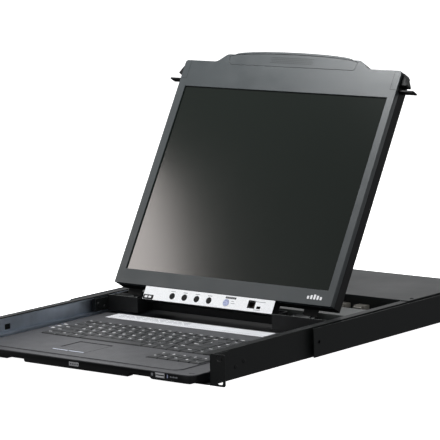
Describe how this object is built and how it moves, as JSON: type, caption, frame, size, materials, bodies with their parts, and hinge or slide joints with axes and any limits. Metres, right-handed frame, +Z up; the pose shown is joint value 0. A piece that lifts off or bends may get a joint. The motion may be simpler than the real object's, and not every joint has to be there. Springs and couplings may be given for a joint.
{
  "type": "kvm switch",
  "caption": "Rack drawer console with a switch for several computers: fold-up monitor on its own slide, keyboard tray with touchpad on another, steel chassis with rack ears.",
  "frame": {"origin": "centre of the front rack bolt pattern, on the front face of the rack ears", "axes": "+X to the right as the user faces the keyboard, +Y to the back of the rack, +Z up"},
  "size_m": [0.4826, 0.743, 0.3951],
  "materials": {
    "black_steel": "satin black powder coat",
    "grey_steel": "satin dark grey paint",
    "zinc_steel": "zinc plated",
    "bright_steel": "bright",
    "graphite_plastic": "satin graphite",
    "black_plastic": "matt moulded",
    "deck_plastic": "satin dark grey",
    "key_plastic": "satin with printed marks",
    "silver_plastic": "satin silver white",
    "blue_lens": "translucent",
    "screen_glass": "anti-glare",
    "circuit_board": "solder mask",
    "nylon": "moulded"
  },
  "bodies": {
    "chassis": {"base_pan": "black_steel", "side_wall_left": "black_steel", "side_wall_right": "black_steel", "rear_panel": "black_steel", "top_cover": "grey_steel", "front_ear_left": "black_steel", "front_ear_right": "black_steel", "outer_rail_left": "zinc_steel", "outer_rail_right": "zinc_steel", "main_board": "circuit_board", "board_chips": "black_plastic", "power_supply": "zinc_steel", "computer_ports": "black_plastic", "power_inlet": "black_plastic", "harness_plugs": "nylon", "chassis_screws": "black_steel", "board_standoffs": "bright_steel"},
    "carriage": {"carriage_shell": "black_plastic", "carriage_cover": "grey_steel", "carriage_rail_left": "black_steel", "carriage_rail_right": "black_steel", "hinge_brackets": "black_steel", "hinge_pins": "bright_steel"},
    "monitor": {"front_bezel": "graphite_plastic", "back_cover": "black_plastic", "lcd_screen": "screen_glass", "driver_board": "circuit_board", "handle_insert": "graphite_plastic", "control_housing": "black_plastic", "control_board": "circuit_board", "hinge_leaves": "black_steel", "upgrade_port": "black_plastic", "monitor_screws": "bright_steel"},
    "keyboard": {"keyboard_tray": "black_plastic", "keyboard_deck": "deck_plastic", "front_fascia": "black_plastic", "keyboard_rails": "zinc_steel", "key_board": "circuit_board", "touchpad": "deck_plastic", "label_plate": "silver_plastic", "usb_port": "bright_steel", "keyboard_screws": "bright_steel"},
    "rear_bracket_left": {"rear_bracket_left": "black_steel"},
    "rear_bracket_right": {"rear_bracket_right": "black_steel"},
    "power_rocker": {"power_rocker": "black_plastic"},
    "menu_button_1": {"menu_button_1": "black_plastic"},
    "menu_button_2": {"menu_button_2": "black_plastic"},
    "menu_button_3": {"menu_button_3": "black_plastic"},
    "menu_button_4": {"menu_button_4": "black_plastic"},
    "monitor_power_button": {"monitor_power_button": "blue_lens"},
    "mode_switch": {"mode_switch": "black_plastic"},
    "lcd_catch_left": {"lcd_catch_left": "black_plastic"},
    "lcd_catch_right": {"lcd_catch_right": "black_plastic"},
    "keys_function_row": {"keys_function_row": "key_plastic"},
    "keys_letters": {"keys_letters": "key_plastic"},
    "keys_keypad": {"keys_keypad": "key_plastic"},
    "space_bar": {"space_bar": "key_plastic"},
    "enter_key": {"enter_key": "key_plastic"},
    "touchpad_button_left": {"touchpad_button_left": "deck_plastic"},
    "touchpad_button_right": {"touchpad_button_right": "deck_plastic"}
  },
  "joints": [
    {"name": "monitor_slide", "type": "slide", "parent": "chassis", "child": "carriage", "axis": [0, -1, 0], "range_m": [-0.059, 0.33]},
    {"name": "monitor_tilt", "type": "hinge", "parent": "carriage", "child": "monitor", "pos_m": [0, 0.2972, 0.0125], "axis": [1, 0, 0], "range_deg": [0, 120]},
    {"name": "keyboard_slide", "type": "slide", "parent": "chassis", "child": "keyboard", "axis": [0, -1, 0], "range_m": [0, 0.33]},
    {"name": "rear_bracket_left_slide", "type": "slide", "parent": "chassis", "child": "rear_bracket_left", "axis": [0, 1, 0], "range_m": [-0.04, 0.07]},
    {"name": "rear_bracket_right_slide", "type": "slide", "parent": "chassis", "child": "rear_bracket_right", "axis": [0, 1, 0], "range_m": [-0.04, 0.07]},
    {"name": "power_rocker_tilt", "type": "hinge", "parent": "chassis", "child": "power_rocker", "pos_m": [0.145, 0.644, -0.0018], "axis": [1, 0, 0], "range_deg": [-8, 8]},
    {"name": "menu_button_1_press", "type": "slide", "parent": "monitor", "child": "menu_button_1", "axis": [0, 0.866, -0.5], "range_m": [0, 0.0008], "stiffness_N_per_m": 900, "springref_m": -0.0006},
    {"name": "menu_button_2_press", "type": "slide", "parent": "monitor", "child": "menu_button_2", "axis": [0, 0.866, -0.5], "range_m": [0, 0.0008], "stiffness_N_per_m": 900, "springref_m": -0.0006},
    {"name": "menu_button_3_press", "type": "slide", "parent": "monitor", "child": "menu_button_3", "axis": [0, 0.866, -0.5], "range_m": [0, 0.0008], "stiffness_N_per_m": 900, "springref_m": -0.0006},
    {"name": "menu_button_4_press", "type": "slide", "parent": "monitor", "child": "menu_button_4", "axis": [0, 0.866, -0.5], "range_m": [0, 0.0008], "stiffness_N_per_m": 900, "springref_m": -0.0006},
    {"name": "monitor_power_press", "type": "slide", "parent": "monitor", "child": "monitor_power_button", "axis": [0, 0.866, -0.5], "range_m": [0, 0.0008], "stiffness_N_per_m": 900, "springref_m": -0.0006},
    {"name": "mode_switch_slide", "type": "slide", "parent": "monitor", "child": "mode_switch", "axis": [1, 0, 0], "range_m": [0, 0.003]},
    {"name": "lcd_catch_left_squeeze", "type": "slide", "parent": "monitor", "child": "lcd_catch_left", "axis": [1, 0, 0], "range_m": [0, 0.0035], "stiffness_N_per_m": 800, "springref_m": -0.0015},
    {"name": "lcd_catch_right_squeeze", "type": "slide", "parent": "monitor", "child": "lcd_catch_right", "axis": [-1, 0, 0], "range_m": [0, 0.0035], "stiffness_N_per_m": 800, "springref_m": -0.0015},
    {"name": "keys_function_row_press", "type": "slide", "parent": "keyboard", "child": "keys_function_row", "axis": [0, 0, -1], "range_m": [0, 0.0018], "stiffness_N_per_m": 900, "springref_m": -0.0015},
    {"name": "keys_letters_press", "type": "slide", "parent": "keyboard", "child": "keys_letters", "axis": [0, 0, -1], "range_m": [0, 0.0018], "stiffness_N_per_m": 2000, "springref_m": -0.0015},
    {"name": "keys_keypad_press", "type": "slide", "parent": "keyboard", "child": "keys_keypad", "axis": [0, 0, -1], "range_m": [0, 0.0018], "stiffness_N_per_m": 1500, "springref_m": -0.0015},
    {"name": "space_bar_press", "type": "slide", "parent": "keyboard", "child": "space_bar", "axis": [0, 0, -1], "range_m": [0, 0.0018], "stiffness_N_per_m": 400, "springref_m": -0.0015},
    {"name": "enter_key_press", "type": "slide", "parent": "keyboard", "child": "enter_key", "axis": [0, 0, -1], "range_m": [0, 0.0018], "stiffness_N_per_m": 300, "springref_m": -0.0015},
    {"name": "touchpad_left_press", "type": "slide", "parent": "keyboard", "child": "touchpad_button_left", "axis": [0, 0, -1], "range_m": [0, 0.0005], "stiffness_N_per_m": 900, "springref_m": -0.0008},
    {"name": "touchpad_right_press", "type": "slide", "parent": "keyboard", "child": "touchpad_button_right", "axis": [0, 0, -1], "range_m": [0, 0.0005], "stiffness_N_per_m": 900, "springref_m": -0.0008}
  ]
}
